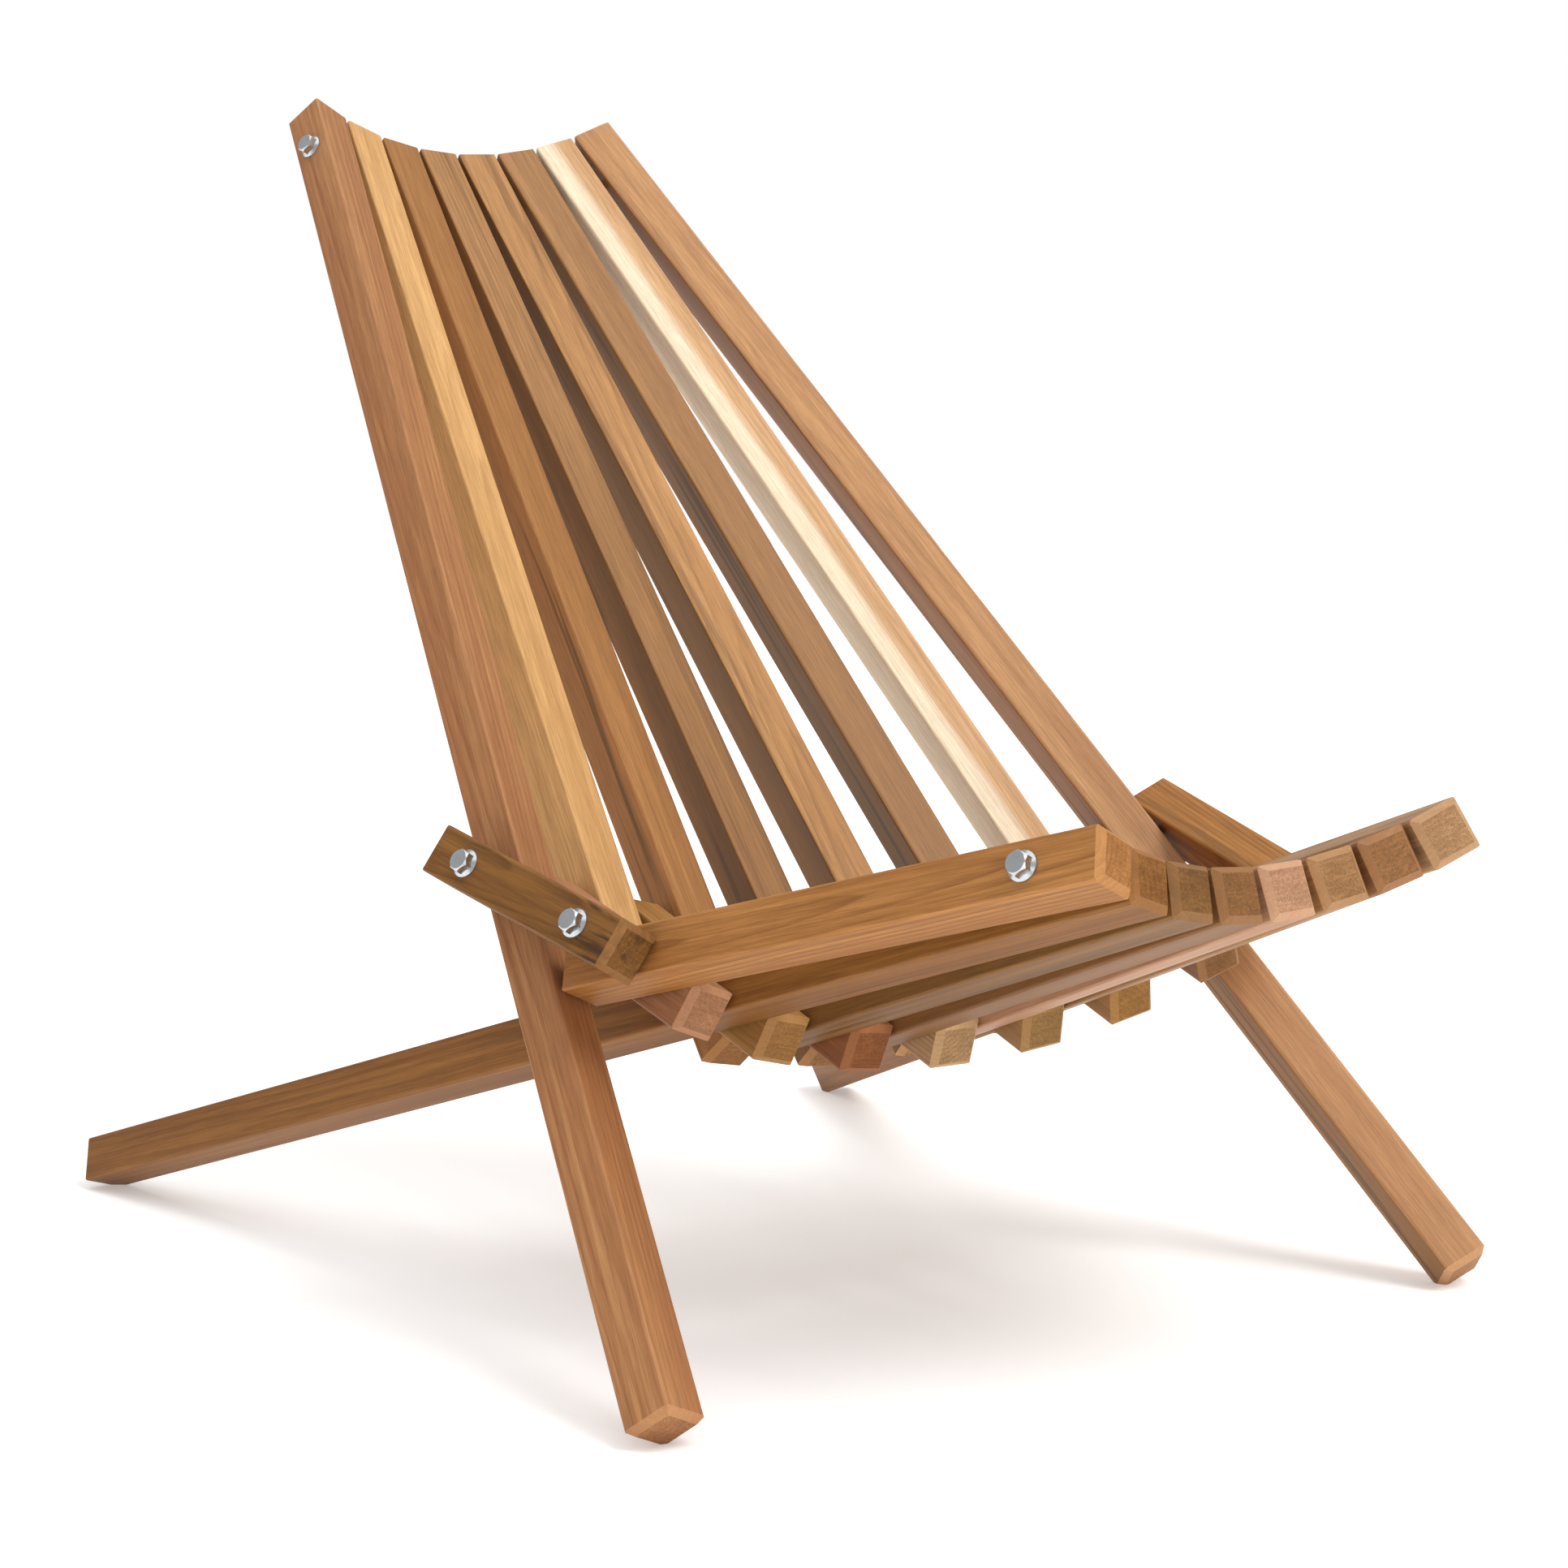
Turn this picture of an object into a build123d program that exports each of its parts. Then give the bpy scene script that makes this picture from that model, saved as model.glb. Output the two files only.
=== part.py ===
from build123d import *
from math import cos, hypot, radians, sin
import os

# Folding stick chair: 25 square sticks threaded on four bent steel rods.
# Eight back sticks and eight seat sticks share eight layers, nine short link sticks lie between
# and outside them. The layers fan out from one axis above the seat, so the back and the seat are
# both curved like a hammock, and both get narrower away from the crossing.
# Frame: +Z up, the front of the chair faces -Y, X across, origin on the floor under the middle.
# Side-view points are written (forward, up), with forward = -Y.

# --- driving dimensions, mm and degrees ---
stick = 31.5                # section of every stick, square
edge_round = 2.2            # radius of the long edges
end_chamfer = 4.0           # chamfer round both ends of every stick
layer_pitch = 71.2          # from one back stick to the next at the back pivot rod
layer_turn = 7.95           # each back stick is rolled this much against the next
axis_slope = 26.5           # the fan axis falls this much towards the front

back_pivot = (47.8, 207.8)  # side-view place of the back pivot rod in the middle layer
back_slope = 46.3           # back sticks above the horizontal
back_above = 761.0          # back pivot to the top end
back_rod_at = 713.0         # back pivot to the top rod
front_leg = 364.0           # back pivot to the foot, outer back sticks
back_short_tail = 27.0      # tail of the second and seventh back stick, which rests on the rear leg
back_tail = 84.0            # tail of the four inner back sticks

pivot_gap = 108.0           # back pivot rod to seat pivot rod
link_slope = 17.4           # link sticks fall this much towards the front
rod_rise = 12.0             # the seat pivot rod curves up this much more at its ends
rod_pull = 4.0              # and its last hole on each side is this much nearer the back pivot
seat_slope = 20.0           # seat sticks rise this much towards the front
seat_ahead = 332.0          # seat pivot to the front end
seat_rod_at = 289.0         # seat pivot to the front rod
rear_leg = 630.0            # seat pivot to the foot, second and seventh seat stick
seat_tail = 31.0            # tail of the inner short seat sticks, just clear of the back sticks
seat_outer_tail = 39.5      # tail of the outermost seat sticks, against the front legs

link_tail = 26.0            # link stick behind the back pivot, inner ones
link_nose = 41.0            # link stick ahead of the seat pivot, inner ones
outer_link_tail = 36.5
outer_link_nose = 34.0

rod_radius = 3.75
bore_radius = 4.5           # drilled holes, with room for the bend of the rod
bore_room = 0.6             # room round the rod where it runs askew through a stick
flange_radius = 8.9
hex_flats = 13.0
nut_height = 8.0
nut_bore = 4.6              # depth of the blind thread
nut_bore_radius = 4.1
head_height = 2.2           # low domed head on the left end of each rod
head_radius = 8.6
head_bore = 0.9

os.makedirs("parts", exist_ok=True)

# --- the fan of layers ---
fan_radius = layer_pitch / radians(layer_turn)
toward_axis = (sin(radians(axis_slope)), cos(radians(axis_slope)))


def slope(angle):
    """Unit side-view direction that rises forwards by angle."""
    return (cos(radians(angle)), sin(radians(angle)))


def shift(point, way, distance):
    return (point[0] + way[0] * distance, point[1] + way[1] * distance)


def height_to_axis(way):
    return way[0] * toward_axis[0] + way[1] * toward_axis[1]


def place(layer, point):
    """The side-view point, carried to its place in a layer. Layers are counted from the middle."""
    turn = radians(layer_turn * layer)
    from_pivot = (point[0] - back_pivot[0], point[1] - back_pivot[1])
    radius = fan_radius - height_to_axis(from_pivot)
    forward, up = shift(point, toward_axis, radius * (1 - cos(turn)))
    return Vector(radius * sin(turn), -forward, up)


def along(layer, way):
    """A side-view direction, carried to a layer."""
    turn = radians(layer_turn * layer)
    height = height_to_axis(way)
    forward, up = shift(way, toward_axis, height * (cos(turn) - 1))
    return Vector(-height * sin(turn), -forward, up)


def across(layer):
    """Unit normal of a layer, towards +X."""
    turn = radians(layer_turn * layer)
    return Vector(cos(turn), -sin(turn) * toward_axis[0], sin(turn) * toward_axis[1])


# --- side-view points and directions ---
back_way = slope(180 - back_slope)
seat_pivot_middle = shift(back_pivot, slope(-link_slope), pivot_gap)
front_rod_point = shift(seat_pivot_middle, slope(seat_slope), seat_rod_at)
top_rod_point = shift(back_pivot, back_way, back_rod_at)


def seat_pivot(layer):
    """Where the seat pivot rod passes a layer: its ends curve up towards the fan axis."""
    risen = shift(seat_pivot_middle, toward_axis, rod_rise * (abs(layer) / 4) ** 4)
    return shift(risen, slope(-link_slope), -rod_pull * (abs(layer) / 4) ** 16)


def between(start, end):
    """Unit direction and distance from one side-view point to another."""
    ahead, up = end[0] - start[0], end[1] - start[1]
    distance = hypot(ahead, up)
    return (ahead / distance, up / distance), distance


# --- rods ---
def rod_path(point_of, last_layer):
    """Smooth line through every half layer, into the nut at the right and the head at the left."""
    steps = range(round(-2 * last_layer), round(2 * last_layer) + 1)
    line = [place(half / 2, point_of(half / 2)) for half in steps]
    first = line[0] - across(-last_layer) * (stick / 2 + nut_bore - 0.5)
    last = line[-1] + across(last_layer) * (stick / 2 + head_bore - 0.5)
    return Spline([first] + line + [last], tangents=[across(-last_layer), across(last_layer)])


def rod(path, radius):
    return sweep(Plane(origin=path @ 0, z_dir=path % 0) * Circle(radius), path=path)


paths = {
    "top_rod": rod_path(lambda layer: top_rod_point, 3.5),
    "back_pivot_rod": rod_path(lambda layer: back_pivot, 4),
    "seat_pivot_rod": rod_path(seat_pivot, 4),
    "front_rod": rod_path(lambda layer: front_rod_point, 3.5),
}
parts = {name: rod(path, rod_radius) for name, path in paths.items()}
seat_rod_room = rod(paths["seat_pivot_rod"], rod_radius + bore_room)


# --- sticks ---
def make_stick(layer, start, way, tail, ahead, bores):
    """A stick from tail behind start to ahead of it, with bores at these distances from start."""
    length = tail + ahead
    middle = (ahead - tail) / 2
    body = Box(length, stick, stick)
    body = chamfer(body.faces().filter_by(Axis.X).edges(), end_chamfer)
    body = fillet(body.edges().filter_by(Axis.X), edge_round)
    for distance in bores:
        body -= Pos(distance - middle, 0, 0) * Rot(90, 0, 0) * Cylinder(bore_radius, 2 * stick)
    direction = along(layer, way)
    centre = place(layer, shift(start, way, middle))
    return Plane(origin=centre, x_dir=direction, z_dir=direction.cross(across(layer))) * body


floor_cut = Pos(0, 0, -100) * Box(2000, 2000, 200)

for number in range(1, 9):
    layer = number - 4.5
    outer, legged = number in (1, 8), number in (2, 7)

    tail = front_leg if outer else back_short_tail if legged else back_tail
    back = make_stick(layer, back_pivot, back_way, tail, back_above, (0, back_rod_at))
    parts[f"back_stick_{number}"] = back - floor_cut if outer else back

    pivot = seat_pivot(layer)
    way, rod_at = between(pivot, front_rod_point)
    tail = rear_leg if legged else seat_outer_tail if outer else seat_tail
    seat = make_stick(layer, pivot, way, tail, seat_ahead, (0, rod_at)) - seat_rod_room
    seat = seat.solids().sort_by(SortBy.VOLUME)[-1]
    parts[f"seat_stick_{number}"] = seat - floor_cut if legged else seat

for number in range(1, 10):
    layer = number - 5
    outer = number in (1, 9)
    way, rod_at = between(back_pivot, seat_pivot(layer))
    tail = outer_link_tail if outer else link_tail
    nose = rod_at + (outer_link_nose if outer else link_nose)
    link = make_stick(layer, back_pivot, way, tail, nose, (0, rod_at))
    parts[f"link_stick_{number}"] = (link - seat_rod_room).solids().sort_by(SortBy.VOLUME)[-1]


# --- closed flange nuts and domed heads ---
def flange_nut():
    """Closed hex nut on a sloping flange, its seat at Z = 0."""
    flange = Cylinder(flange_radius, 1.3, align=(Align.CENTER, Align.CENTER, Align.MIN))
    slant = Pos(0, 0, 1.3) * Cone(flange_radius - 0.3, hex_flats / 2, 1.6,
                                  align=(Align.CENTER, Align.CENTER, Align.MIN))
    hexagon = extrude(RegularPolygon(hex_flats / 2, 6, major_radius=False), nut_height)
    corners = Cone(hex_flats, hex_flats / 2 - 0.5, hex_flats / 2 + 0.5,
                   align=(Align.CENTER, Align.CENTER, Align.MAX))
    hexagon &= Pos(0, 0, nut_height) * corners
    bore = Cylinder(nut_bore_radius, nut_bore, align=(Align.CENTER, Align.CENTER, Align.MIN))
    return flange + slant + hexagon - bore


def domed_head():
    """Low round head, its seat at Z = 0, with a shallow bore for the rod end."""
    sphere = (head_radius**2 + head_height**2) / (2 * head_height)
    head = Pos(0, 0, head_height - sphere) * Sphere(sphere)
    head &= Cylinder(head_radius, 2 * head_height, align=(Align.CENTER, Align.CENTER, Align.MIN))
    return head - Cylinder(nut_bore_radius, 2 * head_bore)


fastener_rows = {
    "top": (3.5, top_rod_point),
    "back_pivot": (4, back_pivot),
    "seat_pivot": (4, seat_pivot(4)),
    "front": (3.5, front_rod_point),
}
for name, (layer, point) in fastener_rows.items():
    for side, word, made in ((-1, "nut", flange_nut()), (1, "head", domed_head())):
        outward = across(side * layer) * side
        seat_at = place(side * layer, point) + outward * (stick / 2)
        frame = Plane(origin=seat_at, x_dir=along(side * layer, slope(-link_slope)), z_dir=outward)
        parts[f"{name}_{word}"] = frame * made

for name, shape in parts.items():
    export_step(shape, f"parts/{name}.step")
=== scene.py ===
import math

import bmesh
import bpy
from mathutils import Matrix, Vector


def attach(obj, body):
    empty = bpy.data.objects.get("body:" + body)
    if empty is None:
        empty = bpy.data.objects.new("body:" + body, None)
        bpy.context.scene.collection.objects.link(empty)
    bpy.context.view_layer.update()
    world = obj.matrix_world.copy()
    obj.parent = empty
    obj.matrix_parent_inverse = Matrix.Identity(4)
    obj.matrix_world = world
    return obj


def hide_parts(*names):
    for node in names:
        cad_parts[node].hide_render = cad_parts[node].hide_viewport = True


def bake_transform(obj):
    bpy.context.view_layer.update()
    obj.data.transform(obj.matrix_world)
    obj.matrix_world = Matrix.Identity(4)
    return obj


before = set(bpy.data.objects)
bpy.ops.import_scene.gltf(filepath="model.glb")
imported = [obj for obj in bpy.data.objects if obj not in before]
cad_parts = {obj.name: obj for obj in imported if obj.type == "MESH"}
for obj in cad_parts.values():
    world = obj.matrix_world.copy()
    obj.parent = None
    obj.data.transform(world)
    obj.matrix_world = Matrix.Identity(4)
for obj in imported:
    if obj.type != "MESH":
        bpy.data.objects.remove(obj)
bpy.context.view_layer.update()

# --- layout of the fan, as in the CAD model, in metres and degrees ---
STICK = 0.0315
LAYER_PITCH = 0.0712
LAYER_TURN = 7.95
AXIS_SLOPE = 26.5
BACK_PIVOT = (0.0478, 0.2078)
BACK_SLOPE = 46.3
BACK_ROD_AT = 0.713
PIVOT_GAP = 0.108
LINK_SLOPE = 17.4
ROD_RISE = 0.012
ROD_PULL = 0.004
SEAT_SLOPE = 20.0
SEAT_ROD_AT = 0.289
ROD_RADIUS = 0.00375
ROD_END_SHRINK = 0.88  # the ends of a piece of rod are slightly broken
ROD_REACH = 0.25  # layers of pivot rod that each stick carries, both ways
ROD_IN_NUT = 0.004
ROD_IN_HEAD = 0.0004
ROD_IN_HOLE = 0.002  # how far a piece of rod starts inside its own stick
HOLE_MARGIN = 0.003  # how far short of the next stick's far face it stops

FAN_RADIUS = LAYER_PITCH / math.radians(LAYER_TURN)
TOWARD_AXIS = (math.sin(math.radians(AXIS_SLOPE)), math.cos(math.radians(AXIS_SLOPE)))


def slope(angle):
    return (math.cos(math.radians(angle)), math.sin(math.radians(angle)))


def shift(point, way, distance):
    return (point[0] + way[0] * distance, point[1] + way[1] * distance)


def radius_at(point):
    """Distance of a side-view point from the axis of the fan."""
    return FAN_RADIUS - (
        (point[0] - BACK_PIVOT[0]) * TOWARD_AXIS[0]
        + (point[1] - BACK_PIVOT[1]) * TOWARD_AXIS[1]
    )


def place(layer, point):
    """A side-view point (forward, up), carried to its place in a layer."""
    turn = math.radians(LAYER_TURN * layer)
    radius = radius_at(point)
    forward, up = shift(point, TOWARD_AXIS, radius * (1 - math.cos(turn)))
    return Vector((radius * math.sin(turn), -forward, up))


SEAT_PIVOT_MIDDLE = shift(BACK_PIVOT, slope(-LINK_SLOPE), PIVOT_GAP)
TOP_ROD_POINT = shift(BACK_PIVOT, slope(180 - BACK_SLOPE), BACK_ROD_AT)
FRONT_ROD_POINT = shift(SEAT_PIVOT_MIDDLE, slope(SEAT_SLOPE), SEAT_ROD_AT)


def seat_pivot(layer):
    """Its ends curve up and back, then run straight on past the outermost layer."""
    reach = min(abs(layer) / 4, 1.0)
    risen = shift(SEAT_PIVOT_MIDDLE, TOWARD_AXIS, ROD_RISE * reach ** 4)
    return shift(risen, slope(-LINK_SLOPE), -ROD_PULL * reach ** 16)


# --- node helpers ---
class Nodes:
    """A material's node tree, built by short calls. A value given as a socket is linked."""

    def __init__(self, name):
        self.material = bpy.data.materials.new(name)
        self.material.use_nodes = True
        self.tree = self.material.node_tree
        self.shader = self.tree.nodes["Principled BSDF"]

    def set(self, socket, value):
        if isinstance(value, bpy.types.NodeSocket):
            self.tree.links.new(value, socket)
        elif isinstance(value, (tuple, list)) and len(value) == 3 and socket.type == "RGBA":
            socket.default_value = (*value, 1.0)
        else:
            socket.default_value = value

    def add(self, kind, inputs=(), **settings):
        node = self.tree.nodes.new("ShaderNode" + kind)
        for key, value in settings.items():
            setattr(node, key, value)
        for key, value in dict(inputs).items():
            self.set(node.inputs[key], value)
        return node

    def math(self, operation, a, b=0.0, c=0.0, clamp=False):
        node = self.add("Math", {0: a, 1: b, 2: c}, operation=operation, use_clamp=clamp)
        return node.outputs[0]

    def vector(self, operation, a, b=(0.0, 0.0, 0.0)):
        node = self.add("VectorMath", {0: a, 1: b}, operation=operation)
        return node.outputs["Value" if operation in ("LENGTH", "DOT_PRODUCT") else "Vector"]

    def mix(self, factor, a, b, blend="MIX"):
        node = self.add("Mix", {0: factor, 6: a, 7: b}, data_type="RGBA", blend_type=blend)
        return node.outputs[2]

    def grey(self, value):
        return self.add("CombineColor", {0: value, 1: value, 2: value}).outputs[0]

    def noise(self, where, detail=3.0, roughness=0.55, distortion=0.0):
        inputs = {"Vector": where, "Scale": 1.0, "Detail": detail, "Roughness": roughness,
                  "Distortion": distortion}
        return self.add("TexNoise", inputs).outputs["Fac"]

    def ramp(self, value, low, high, start=0.0, end=1.0, smooth=True):
        """Value from start to end while the input goes from low to high."""
        inputs = {"Value": value, "From Min": low, "From Max": high, "To Min": start, "To Max": end}
        kind = "SMOOTHSTEP" if smooth else "LINEAR"
        return self.add("MapRange", inputs, interpolation_type=kind).outputs["Result"]


# --- wood ---
WOOD_ROUGHNESS = 0.39
WOOD_SHINE = 0.24


def stick_frame(obj):
    """Middle, axes (along, across, face) and length of a stick, from its own mesh."""
    areas = {}
    for polygon in obj.data.polygons:
        normal = polygon.normal
        key = tuple(round(c, 2) + 0.0 for c in normal)
        total, added = areas.get(key, (0.0, Vector()))
        areas[key] = (total + polygon.area, added + normal * polygon.area)
    ranked = sorted(areas.values(), key=lambda item: -item[0])
    first = ranked[0][1].normalized()
    second = next(v.normalized() for _, v in ranked if abs(v.normalized().dot(first)) < 0.2)
    across, face = sorted((first, second), key=lambda v: -abs(v.x))
    across = across if across.x > 0 else -across
    face = (face - across * face.dot(across)).normalized()
    face = face if face.z > 0 else -face
    along = across.cross(face)
    spans = []
    for axis in (along, across, face):
        reach = [v.co.dot(axis) for v in obj.data.vertices]
        spans.append((min(reach), max(reach)))
    middle = sum(((low + high) / 2 * axis for (low, high), axis
                  in zip(spans, (along, across, face))), Vector())
    return middle, (along, across, face), spans[0][1] - spans[0][0]


def wood(name, obj, seed, light, dark, streak, rings=0.5, spacing=3.2, pith=(22, -30), tilt=0.03,
         zebra=0.0, sap=None, sap_from=0.0, foot=0.0, side=None, knots=0.0):
    """Oiled hardwood that runs along the stick: growth rings round a pith line beside it, streaks,
    fibres, pores, and end grain where the stick is cut across. spacing and pith are in mm."""
    middle, axes, length = stick_frame(obj)
    n = Nodes(name)
    turn = Matrix(axes).transposed().to_euler()
    coordinates = n.add("TexCoord")
    local = n.add("Mapping", {"Vector": coordinates.outputs["Object"], "Location": middle,
                              "Rotation": turn}, vector_type="TEXTURE").outputs["Vector"]
    moved = n.vector("ADD", local, (seed * 1.37, seed * 0.71, seed * 0.43))
    split = n.add("SeparateXYZ", {"Vector": local}).outputs
    x, y, z = split["X"], split["Y"], split["Z"]

    def stretched(long, wide):
        return n.vector("MULTIPLY", moved, (long, wide, wide))

    # growth rings
    wander = n.noise(stretched(1.6, 9.0), detail=2.0)
    ripple = n.noise(stretched(9.0, 60.0), detail=3.0)
    ring_y = n.math("ADD", n.math("SUBTRACT", y, pith[0] / 1000), n.math("MULTIPLY", x, tilt))
    ring_z = n.math("SUBTRACT", n.math("SUBTRACT", z, pith[1] / 1000),
                    n.math("MULTIPLY", x, tilt * 0.6))
    radius = n.math("SQRT", n.math("ADD", n.math("MULTIPLY", ring_y, ring_y),
                                   n.math("MULTIPLY", ring_z, ring_z)))
    radius = n.math("MULTIPLY_ADD", wander, 0.016, radius)
    radius = n.math("MULTIPLY_ADD", ripple, 0.0016, radius)
    ring = n.math("FRACT", n.math("DIVIDE", radius, spacing / 1000))
    late = n.math("MULTIPLY", n.ramp(ring, 0.15, 0.86, smooth=False), n.ramp(ring, 0.99, 0.88))
    late = n.math("POWER", late, 1.7)
    uneven = n.ramp(n.noise(stretched(0.8, 55.0), detail=1.0), 0.3, 0.7, 0.35, 1.0)
    late = n.math("MULTIPLY", late, uneven)

    # streaks and fibres along the stick
    broad = n.ramp(n.noise(stretched(1.5, 34.0), detail=2.5), 0.34, 0.66)
    narrow = n.ramp(n.noise(stretched(5.0, 190.0), detail=3.0), 0.32, 0.7)
    fibre = n.noise(stretched(34.0, 1100.0), detail=3.5, roughness=0.65)
    pores = n.ramp(n.noise(stretched(105.0, 2600.0), detail=1.0), 0.66, 0.76)
    stripes = n.ramp(n.noise(stretched(2.2, 105.0), detail=3.0, distortion=0.25), 0.54, 0.64)

    # faces: how far this point faces along the stick, and how near an edge it is
    facing = n.vector("DOT_PRODUCT", coordinates.outputs["Normal"], tuple(axes[0]))
    end_face = n.ramp(n.math("ABSOLUTE", facing), 0.55, 0.9)
    edge_y = n.ramp(n.math("ABSOLUTE", y), STICK * 0.44, STICK * 0.5)
    edge_z = n.ramp(n.math("ABSOLUTE", z), STICK * 0.44, STICK * 0.5)
    near_end = n.ramp(n.math("ABSOLUTE", x), length / 2 - 0.0035, length / 2 - 0.0005)
    edge = n.math("MULTIPLY", edge_y, edge_z)
    edge = n.math("MAXIMUM", edge, n.math("MULTIPLY", near_end, n.math("MAXIMUM", edge_y, edge_z)))
    edge = n.math("MULTIPLY", edge, n.ramp(fibre, 0.3, 0.65, 0.3, 1.0))

    colour = n.mix(broad, light, dark)
    colour = n.mix(n.math("MULTIPLY", narrow, 0.62), colour, n.mix(0.5, dark, streak))
    colour = n.mix(n.math("MULTIPLY", late, rings), colour, streak)
    if zebra:
        colour = n.mix(n.math("MULTIPLY", stripes, zebra), colour, tuple(c * 0.42 for c in streak))
    if sap:
        toward = n.math("MULTIPLY", y, -1.0)
        toward = n.math("MULTIPLY_ADD", wander, 0.012, toward)
        toward = n.math("MULTIPLY_ADD", narrow, 0.002, toward)
        colour = n.mix(n.ramp(toward, sap_from + 0.003, sap_from + 0.012), colour, sap)
    # painted shade: the flanks, which face the neighbouring sticks, get their own mostly darker,
    # browner colour with streaks, standing in for the shade in the gaps between sticks
    if side:
        sideways = n.vector("DOT_PRODUCT", coordinates.outputs["Normal"], tuple(axes[1]))
        flank_shade_mask = n.ramp(n.math("ABSOLUTE", sideways), 0.6, 0.95)
        shaded_flank_colour = n.mix(n.math("MULTIPLY", broad, 0.6), side, tuple(c * 0.55 for c in side))
        shaded_flank_colour = n.mix(n.math("MULTIPLY", stripes, 0.8), shaded_flank_colour, tuple(c * 0.3 for c in side))
        colour = n.mix(flank_shade_mask, colour, shaded_flank_colour)
    if knots:
        blotch = n.ramp(n.noise(stretched(11.0, 75.0), detail=4.0, distortion=0.6), 0.58, 0.7)
        colour = n.mix(n.math("MULTIPLY", blotch, knots), colour, tuple(c * 0.3 for c in streak))
    shade = n.ramp(fibre, 0.25, 0.75, 0.72, 1.22, smooth=False)
    colour = n.mix(1.0, colour, n.grey(shade), "MULTIPLY")
    colour = n.mix(n.math("MULTIPLY", pores, 0.35), colour, tuple(c * 0.35 for c in streak))

    # end grain: granular, a little duller, rings kept
    grains = n.noise(n.vector("MULTIPLY", moved, (500.0, 900.0, 900.0)), detail=4.0, roughness=0.7)
    saw = n.noise(n.vector("MULTIPLY", moved, (300.0, 60.0, 700.0)), detail=2.0)
    speckle = n.math("MULTIPLY", n.ramp(grains, 0.3, 0.7, 0.68, 1.12),
                     n.ramp(saw, 0.3, 0.7, 0.85, 1.06))
    cut = n.mix(1.0, n.mix(0.35, colour, tuple(1.05 * c for c in dark)),
                n.grey(speckle), "MULTIPLY")
    colour = n.mix(end_face, colour, cut)
    worn = tuple(min(1.0, c * 1.25 + 0.03) for c in light)
    chamfer = n.math("MULTIPLY", n.ramp(n.math("ABSOLUTE", facing), 0.45, 0.62),
                     n.ramp(n.math("ABSOLUTE", facing), 0.92, 0.78))
    colour = n.mix(n.math("MULTIPLY", chamfer, 0.42), colour, worn)
    colour = n.mix(n.math("MULTIPLY", edge, 0.38), colour, worn)
    # darker towards the bottom of the stick, within about 3 cm of the floor
    if foot:
        height = n.add("SeparateXYZ", {"Vector": coordinates.outputs["Object"]}).outputs["Z"]
        darker_near_floor = n.ramp(n.math("MULTIPLY_ADD", ripple, 0.012, height), 0.03, 0.008, 0.0, foot)
        colour = n.mix(darker_near_floor, colour, tuple(c * 0.5 for c in streak))
    n.set(n.shader.inputs["Base Color"], colour)

    rough = n.math("MULTIPLY_ADD", fibre, 0.22, WOOD_ROUGHNESS)
    rough = n.math("MULTIPLY_ADD", late, -0.05, rough)
    rough = n.math("MULTIPLY_ADD", end_face, 0.24, rough)
    n.set(n.shader.inputs["Roughness"], rough)
    n.shader.inputs["Specular IOR Level"].default_value = WOOD_SHINE
    relief = n.math("MULTIPLY_ADD", late, 0.35, fibre)
    relief = n.math("MULTIPLY_ADD", pores, -0.5, relief)
    relief = n.math("ADD", relief, n.math("MULTIPLY", end_face, n.math("ADD", grains, saw)))
    bump = n.add("Bump", {"Height": relief, "Strength": 0.32, "Distance": 0.00028})
    n.set(n.shader.inputs["Normal"], bump.outputs["Normal"])
    return n.material


def zinc(name, scratch=900.0, rough=0.25, tint=(0.62, 0.645, 0.665)):
    """Bright zinc plating: mottled crystals, fine turning marks and a little dullness."""
    n = Nodes(name)
    where = n.add("TexCoord").outputs["Object"]
    voronoi = n.add("TexVoronoi", {"Vector": where, "Scale": 700.0}, feature="F1")
    crystals = voronoi.outputs["Distance"]
    cloud = n.noise(n.vector("MULTIPLY", where, (160.0, 160.0, 160.0)), detail=4.0)
    fine = n.noise(n.vector("MULTIPLY", where, (scratch, scratch * 2.2, scratch * 0.7)), detail=3.0)
    dull = tuple(c * 0.68 for c in tint)
    colour = n.mix(n.ramp(cloud, 0.35, 0.7, 0.0, 0.45), tint, dull)
    colour = n.mix(n.ramp(crystals, 0.2, 0.8, 0.0, 0.18), colour, (0.72, 0.74, 0.76))
    n.set(n.shader.inputs["Base Color"], colour)
    n.shader.inputs["Metallic"].default_value = 1.0
    n.set(n.shader.inputs["Roughness"], n.math("MULTIPLY_ADD", cloud, 0.26, rough - 0.12))
    bump = n.add("Bump", {"Height": n.math("ADD", fine, crystals), "Strength": 0.12,
                          "Distance": 0.00012})
    n.set(n.shader.inputs["Normal"], bump.outputs["Normal"])
    return n.material
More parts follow.
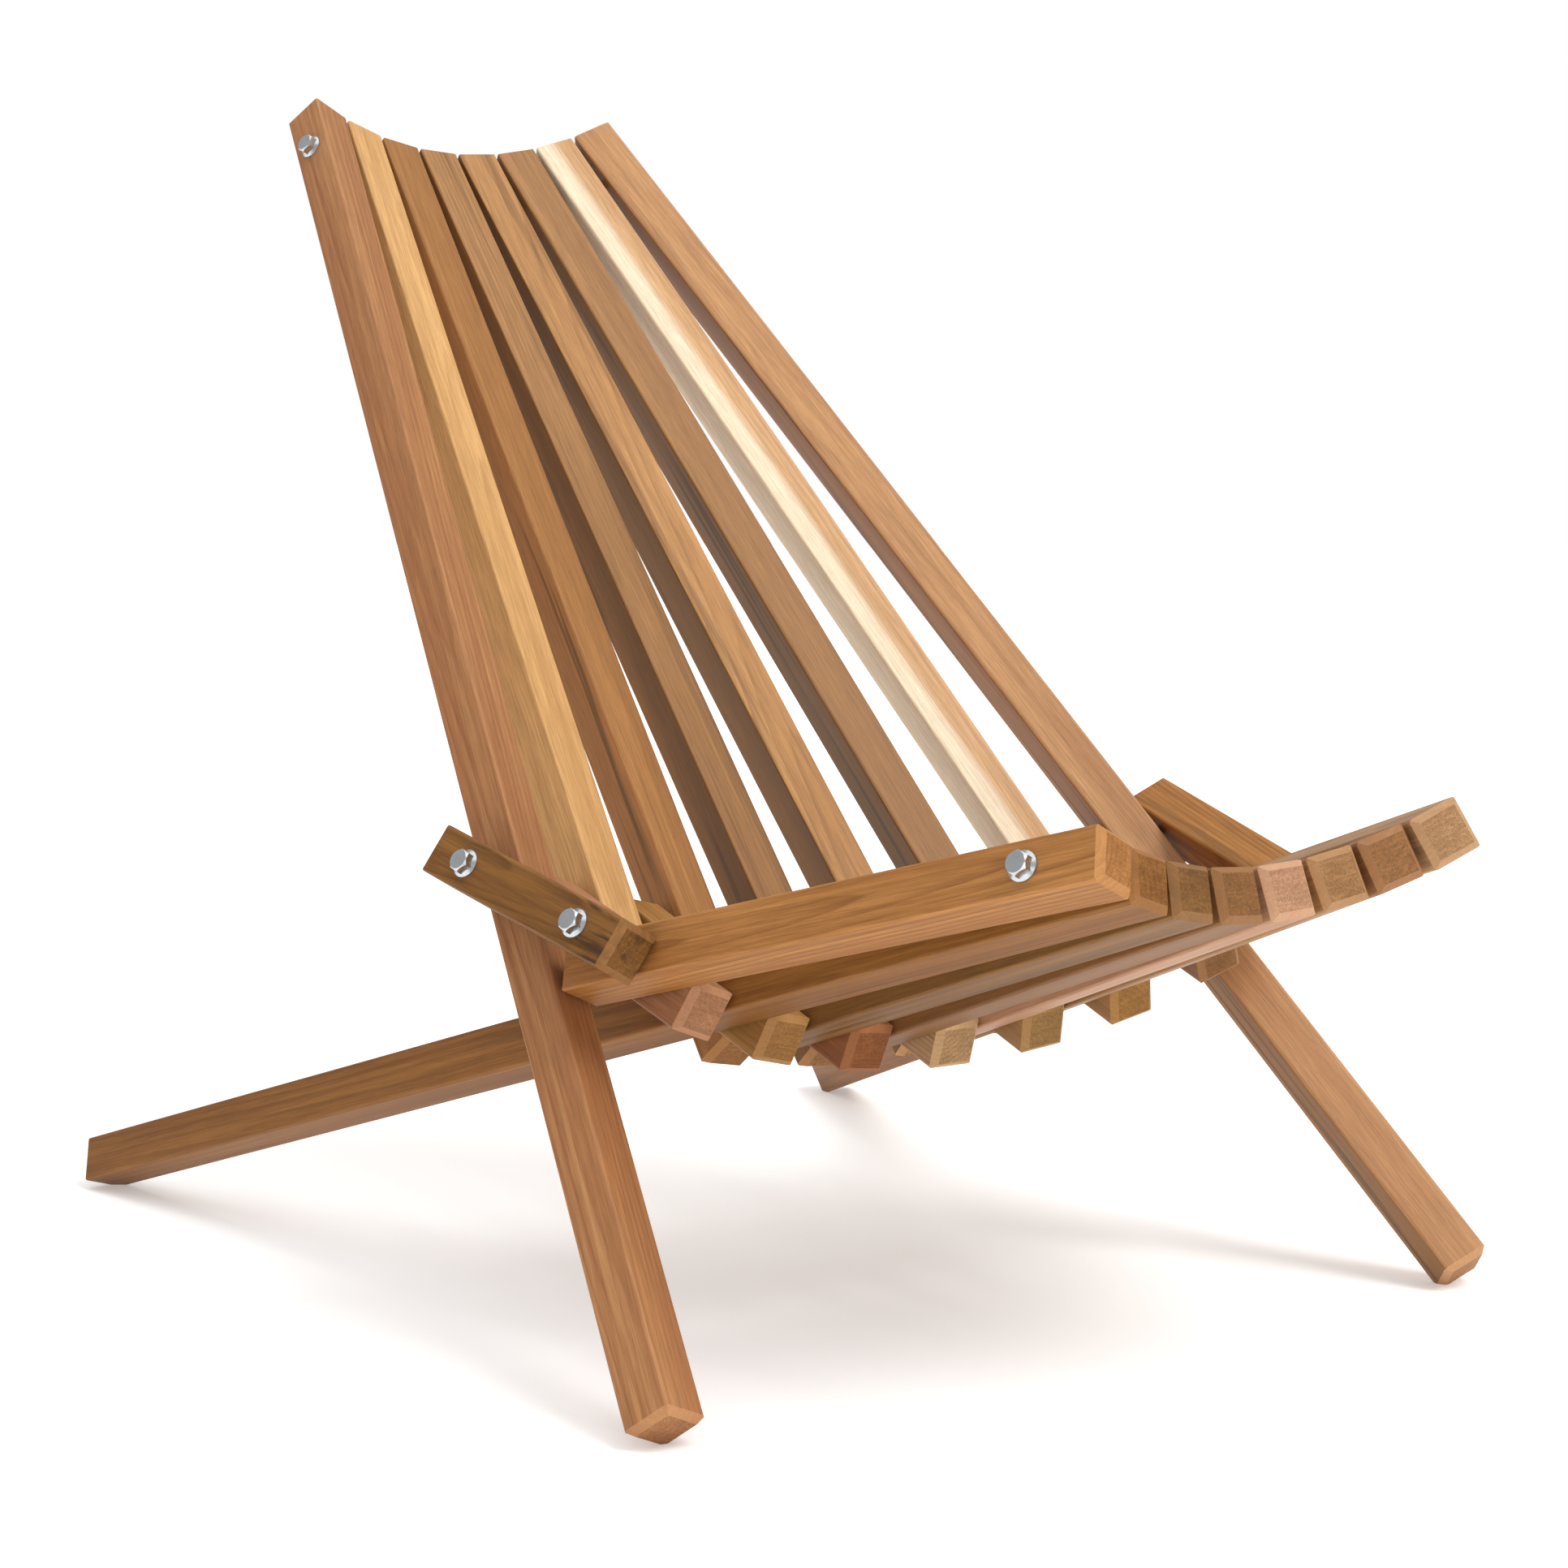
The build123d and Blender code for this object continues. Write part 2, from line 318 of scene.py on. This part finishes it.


# The light, dark and streak colours of each stick, then what else shows on it.
# side, where given, is a painted shade colour for the flanks that face the neighbouring sticks
STICKS = {
    "back_stick_1": dict(
        light=(0.504, 0.245, 0.097), dark=(0.378, 0.163, 0.061), streak=(0.27, 0.09, 0.032),
        rings=0.55, spacing=4.2, pith=(-30, 6), tilt=0.02, foot=0.25),
    "back_stick_2": dict(
        light=(0.765, 0.446, 0.182), dark=(0.624, 0.345, 0.129),
        streak=(0.473, 0.234, 0.078),
        rings=0.5, spacing=2.6, pith=(8, -60), tilt=0.012),
    "back_stick_3": dict(
        light=(0.426, 0.193, 0.058), dark=(0.337, 0.148, 0.043),
        streak=(0.221, 0.091, 0.026),
        rings=0.3, spacing=5.0, pith=(-50, 30), tilt=0.03, side=(0.46, 0.205, 0.065)),
    "back_stick_4": dict(
        light=(0.462, 0.234, 0.087), dark=(0.353, 0.17, 0.06), streak=(0.202, 0.094, 0.033),
        rings=0.45, spacing=3.6, pith=(26, 20), tilt=0.015, zebra=0.3,
        side=(0.27, 0.115, 0.026)),
    "back_stick_5": dict(
        light=(0.668, 0.355, 0.14), dark=(0.488, 0.242, 0.086),
        streak=(0.265, 0.119, 0.038),
        rings=0.6, spacing=3.0, pith=(14, -40), tilt=0.03, zebra=0.35,
        side=(0.27, 0.12, 0.028)),
    "back_stick_6": dict(
        light=(0.42, 0.209, 0.077), dark=(0.353, 0.174, 0.064),
        streak=(0.244, 0.112, 0.041),
        rings=0.22, spacing=5.2, pith=(60, 30), tilt=0.02, side=(0.28, 0.13, 0.034)),
    "back_stick_7": dict(
        light=(0.761, 0.467, 0.243), dark=(0.643, 0.373, 0.178),
        streak=(0.448, 0.229, 0.102),
        rings=0.45, spacing=3.4, pith=(26, 34), tilt=0.02, sap=(0.90, 0.735, 0.53),
        sap_from=-0.001),
    "back_stick_8": dict(
        light=(0.59, 0.314, 0.14), dark=(0.475, 0.24, 0.105), streak=(0.323, 0.146, 0.062),
        rings=0.28, spacing=5.5, pith=(-8, -46), tilt=0.03, foot=0.25,
        side=(0.38, 0.175, 0.055)),
    "seat_stick_1": dict(
        light=(0.506, 0.228, 0.065), dark=(0.396, 0.164, 0.041),
        streak=(0.22, 0.076, 0.018),
        rings=0.75, spacing=3.8, pith=(-26, 2), tilt=0.035),
    "seat_stick_2": dict(
        light=(0.327, 0.137, 0.029), dark=(0.245, 0.095, 0.019),
        streak=(0.139, 0.047, 0.008),
        rings=0.65, spacing=4.4, pith=(-40, -14), tilt=0.012, zebra=0.3, foot=0.3),
    "seat_stick_3": dict(
        light=(0.281, 0.13, 0.036), dark=(0.211, 0.095, 0.025),
        streak=(0.117, 0.048, 0.013),
        rings=0.5, spacing=4.0, pith=(20, 40), tilt=0.02, zebra=0.35),
    "seat_stick_4": dict(
        light=(0.328, 0.152, 0.049), dark=(0.254, 0.111, 0.035),
        streak=(0.148, 0.059, 0.017),
        rings=0.4, spacing=4.0, pith=(40, 12), tilt=0.02),
    "seat_stick_5": dict(
        light=(0.609, 0.347, 0.197), dark=(0.5, 0.264, 0.146), streak=(0.329, 0.148, 0.076),
        rings=0.35, spacing=3.6, pith=(-20, 50), tilt=0.02),
    "seat_stick_6": dict(
        light=(0.448, 0.238, 0.096), dark=(0.352, 0.176, 0.067),
        streak=(0.216, 0.097, 0.032),
        rings=0.55, spacing=3.2, pith=(2, -24), tilt=0.02),
    "seat_stick_7": dict(
        light=(0.369, 0.172, 0.063), dark=(0.287, 0.128, 0.045),
        streak=(0.18, 0.072, 0.023),
        rings=0.45, spacing=4.4, pith=(34, -34), tilt=0.02, foot=0.3),
    "seat_stick_8": dict(
        light=(0.516, 0.294, 0.141), dark=(0.413, 0.223, 0.099),
        streak=(0.258, 0.122, 0.046),
        rings=0.55, spacing=3.0, pith=(-2, -22), tilt=0.025),
    "link_stick_1": dict(
        light=(0.279, 0.119, 0.025), dark=(0.205, 0.085, 0.016),
        streak=(0.098, 0.035, 0.007),
        rings=0.6, spacing=3.6, pith=(-34, 10), tilt=0.05, zebra=0.75, knots=0.75),
    "link_stick_2": dict(
        light=(0.468, 0.228, 0.112), dark=(0.393, 0.181, 0.085),
        streak=(0.243, 0.093, 0.039),
        rings=0.4, spacing=4.0, pith=(30, 24), tilt=0.02),
    "link_stick_3": dict(
        light=(0.422, 0.215, 0.063), dark=(0.34, 0.161, 0.043),
        streak=(0.225, 0.094, 0.021),
        rings=0.6, spacing=3.2, pith=(4, -30), tilt=0.02),
    "link_stick_4": dict(
        light=(0.339, 0.122, 0.037), dark=(0.265, 0.089, 0.025),
        streak=(0.169, 0.047, 0.012),
        rings=0.5, spacing=3.4, pith=(-12, 26), tilt=0.02),
    "link_stick_5": dict(
        light=(0.607, 0.384, 0.192), dark=(0.476, 0.283, 0.13),
        streak=(0.283, 0.144, 0.057),
        rings=0.85, spacing=3.4, pith=(-16, 16), tilt=0.02),
    "link_stick_6": dict(
        light=(0.437, 0.252, 0.088), dark=(0.351, 0.191, 0.062),
        streak=(0.226, 0.108, 0.031),
        rings=0.6, spacing=3.0, pith=(18, 22), tilt=0.02),
    "link_stick_7": dict(
        light=(0.464, 0.237, 0.065), dark=(0.37, 0.178, 0.045), streak=(0.232, 0.092, 0.02),
        rings=0.5, spacing=3.4, pith=(-24, -20), tilt=0.02),
    "link_stick_8": dict(
        light=(0.375, 0.182, 0.063), dark=(0.286, 0.13, 0.043), streak=(0.17, 0.067, 0.019),
        rings=0.5, spacing=3.4, pith=(24, 10), tilt=0.02),
    "link_stick_9": dict(
        light=(0.567, 0.259, 0.063), dark=(0.432, 0.181, 0.041),
        streak=(0.189, 0.067, 0.015),
        rings=0.6, spacing=3.6, pith=(28, 10), tilt=0.04, zebra=0.4),
}

for seed, (node, look) in enumerate(sorted(STICKS.items())):
    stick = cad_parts[node]
    stick.data.materials.clear()
    stick.data.materials.append(wood("wood_" + node, stick, seed + 1, **look))

nut_zinc = zinc("zinc_nut")
rod_zinc = zinc("zinc_rod", scratch=1300.0, rough=0.34, tint=(0.42, 0.43, 0.44))
for name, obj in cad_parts.items():
    if "_stick_" not in name and not name.endswith("_rod"):
        obj.data.materials.clear()
        obj.data.materials.append(nut_zinc)


# --- rods: one piece for each stick or each gap; the pivot and front rod pieces ride on their sticks so that they move with them, the top rod pieces stay where they are built ---
def tube(name, layers, point_of, steps=8, sides=20):
    """A closed length of rod along the fan from one layer to another."""
    first, last = layers
    stations = [first + (last - first) * i / steps for i in range(steps + 1)]
    centres = [place(layer, point_of(layer)) for layer in stations]
    mesh = bmesh.new()
    rings = []
    for i, centre in enumerate(centres):
        way = (centres[min(i + 1, steps)] - centres[max(i - 1, 0)]).normalized()
        side = way.cross(Vector((0, 1, 0))).normalized()
        other = way.cross(side)
        small = ROD_END_SHRINK if i in (0, steps) else 1.0
        ring = []
        for j in range(sides):
            turn = 2 * math.pi * j / sides
            out = (side * math.cos(turn) + other * math.sin(turn)) * ROD_RADIUS * small
            ring.append(mesh.verts.new(centre + out))
        rings.append(ring)
    for a, b in zip(rings, rings[1:]):
        for j in range(sides):
            k = (j + 1) % sides
            mesh.faces.new((a[j], a[k], b[k], b[j])).smooth = True
    mesh.faces.new(rings[0][::-1])
    mesh.faces.new(rings[-1])
    bmesh.ops.recalc_face_normals(mesh, faces=mesh.faces[:])
    data = bpy.data.meshes.new(name)
    mesh.to_mesh(data)
    mesh.free()
    data.materials.append(rod_zinc)
    piece = bpy.data.objects.new(name, data)
    bpy.context.scene.collection.objects.link(piece)
    return piece


def layer_step(point, distance):
    """A distance along the rod at a side-view point, in layers."""
    return distance / (radius_at(point) * math.radians(LAYER_TURN))


# The two pivot rods pass 17 sticks, a half layer apart. Each stick carries its own length.
def pivot_rod(rod, point_of, sticks):
    for half in range(-8, 9):
        layer = half / 2
        if half == 0:
            body = "middle"
        elif half % 2 == 0:
            body = f"link_{round(layer + 5)}"
        else:
            body = f"{sticks}_{round(layer + 4.5)}"
        low, high = -ROD_REACH, ROD_REACH
        if half == -8:
            low = -layer_step(point_of(layer), STICK / 2 + ROD_IN_NUT)
        if half == 8:
            high = layer_step(point_of(layer), STICK / 2 + ROD_IN_HEAD)
        piece = tube(f"{rod}_{half + 9}", (layer + low, layer + high), point_of)
        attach(piece, body)
        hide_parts(rod)


pivot_rod("back_pivot_rod", lambda layer: BACK_PIVOT, "back")
pivot_rod("seat_pivot_rod", seat_pivot, "seat")

# The top rod bends from each back stick into the open gap on each side of it.
half_stick = layer_step(TOP_ROD_POINT, STICK / 2)
inside = layer_step(TOP_ROD_POINT, ROD_IN_HOLE)
for number in range(1, 9):
    layer = number - 4.5
    for side, word in ((-1, "right"), (1, "left")):
        if (number, side) in ((1, -1), (8, 1)):
            continue
        ends = (layer + side * (half_stick - inside), layer + side * 0.5)
        piece = tube(f"top_rod_{number}_{word}", ends, lambda _: TOP_ROD_POINT)
        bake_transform(piece)
        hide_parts("top_rod")

# The front rod goes from each seat stick outwards into the hole of the next one.
half_stick = layer_step(FRONT_ROD_POINT, STICK / 2)
inside = layer_step(FRONT_ROD_POINT, ROD_IN_HOLE)
margin = layer_step(FRONT_ROD_POINT, HOLE_MARGIN)
for number, side in ((4, -1), (3, -1), (2, -1), (4, 1), (5, 1), (6, 1), (7, 1)):
    layer = number - 4.5
    ends = (layer + side * (half_stick - inside), layer + side * (1 + half_stick - margin))
    piece = tube(f"front_rod_{number}_{'right' if side < 0 else 'left'}", ends,
                 lambda _: FRONT_ROD_POINT, steps=10)
    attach(piece, f"seat_{number}")
    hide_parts("front_rod")


# --- floor, light and camera ---
FLOOR_RADIUS = 30.0
FLOOR_GAP = 0.0002
FLOOR_GLOW = 0.3  # keeps the shadow pale
WORLD_LIGHT = 0.47
WORLD_SEEN = 1.0


def stage_plane():
    mesh = bmesh.new()
    bmesh.ops.create_circle(mesh, cap_ends=True, segments=96, radius=FLOOR_RADIUS)
    data = bpy.data.meshes.new("floor")
    mesh.to_mesh(data)
    mesh.free()
    n = Nodes("pale_floor")
    where = n.add("TexCoord").outputs["Object"]
    cloud = n.noise(n.vector("MULTIPLY", where, (3.0, 3.0, 3.0)), detail=3.0)
    n.set(n.shader.inputs["Base Color"], n.mix(cloud, (0.90, 0.90, 0.90), (0.93, 0.93, 0.93)))
    n.shader.inputs["Roughness"].default_value = 0.9
    n.shader.inputs["Specular IOR Level"].default_value = 0.1
    n.shader.inputs["Emission Color"].default_value = (1.0, 1.0, 1.0, 1.0)
    n.shader.inputs["Emission Strength"].default_value = FLOOR_GLOW
    data.materials.append(n.material)
    floor = bpy.data.objects.new("floor", data)
    floor.location.z = -FLOOR_GAP
    bpy.context.scene.collection.objects.link(floor)


def area_light(name, location, target, size, power):
    data = bpy.data.lights.new(name, "AREA")
    data.shape = "DISK"
    data.size = size
    data.energy = power
    light = bpy.data.objects.new(name, data)
    light.location = location
    light.rotation_mode = "QUATERNION"
    way = Vector(target) - Vector(location)
    light.rotation_quaternion = way.to_track_quat("-Z", "Y")
    bpy.context.scene.collection.objects.link(light)


def sun_light(name, direction, spread, strength, colour):
    """Light from a direction, even over the whole floor. spread is its angle in degrees."""
    data = bpy.data.lights.new(name, "SUN")
    data.angle = math.radians(spread)
    data.energy = strength
    data.color = colour
    light = bpy.data.objects.new(name, data)
    light.rotation_mode = "QUATERNION"
    light.rotation_quaternion = (-Vector(direction)).to_track_quat("-Z", "Y")
    bpy.context.scene.collection.objects.link(light)


stage_plane()
sun_light("key", (0.9, -1.5, 2.5), 30.0, 1.7, (1.0, 0.99, 0.97))
sun_light("top_fill", (-0.35, 0.25, 2.0), 70.0, 0.85, (1.0, 1.0, 1.0))
area_light("front_fill", (-1.5, -3.2, 1.1), (0.0, 0.0, 0.35), 1.8, 12.0)

world = bpy.data.worlds.new("studio")
bpy.context.scene.world = world
world.use_nodes = True
links = world.node_tree.links
soft = world.node_tree.nodes["Background"]
soft.inputs["Color"].default_value = (1.0, 1.0, 1.0, 1.0)
soft.inputs["Strength"].default_value = WORLD_LIGHT
seen = world.node_tree.nodes.new("ShaderNodeBackground")
seen.inputs["Color"].default_value = (1.0, 1.0, 1.0, 1.0)
seen.inputs["Strength"].default_value = WORLD_SEEN
rays = world.node_tree.nodes.new("ShaderNodeLightPath")
choose = world.node_tree.nodes.new("ShaderNodeMixShader")
links.new(rays.outputs["Is Camera Ray"], choose.inputs[0])
links.new(soft.outputs[0], choose.inputs[1])
links.new(seen.outputs[0], choose.inputs[2])
links.new(choose.outputs[0], world.node_tree.nodes["World Output"].inputs["Surface"])
bpy.context.scene.view_settings.view_transform = "Standard"

CAMERA_AT = Vector((-1.0871, -1.6304, 0.4983))
CAMERA_YAW, CAMERA_PITCH, CAMERA_ROLL = -33.635, -5.491, 0.104
CAMERA_LENS, SENSOR_WIDTH = 68.02, 36.0  # mm
yaw, pitch, roll = (math.radians(a) for a in (CAMERA_YAW, CAMERA_PITCH, CAMERA_ROLL))
level = Vector((-math.sin(yaw), math.cos(yaw), 0.0))
right = Vector((math.cos(yaw), math.sin(yaw), 0.0))
ahead = level * math.cos(pitch) + Vector((0, 0, 1)) * math.sin(pitch)
upward = Vector((0, 0, 1)) * math.cos(pitch) - level * math.sin(pitch)
right, upward = (right * math.cos(roll) + upward * math.sin(roll),
                 upward * math.cos(roll) - right * math.sin(roll))
camera_data = bpy.data.cameras.new("camera")
camera_data.lens = CAMERA_LENS
camera_data.sensor_width = SENSOR_WIDTH
camera = bpy.data.objects.new("camera", camera_data)
turned = Matrix((right, upward, -ahead)).transposed().to_4x4()
camera.matrix_world = Matrix.Translation(CAMERA_AT) @ turned
bpy.context.scene.collection.objects.link(camera)
bpy.context.scene.camera = camera
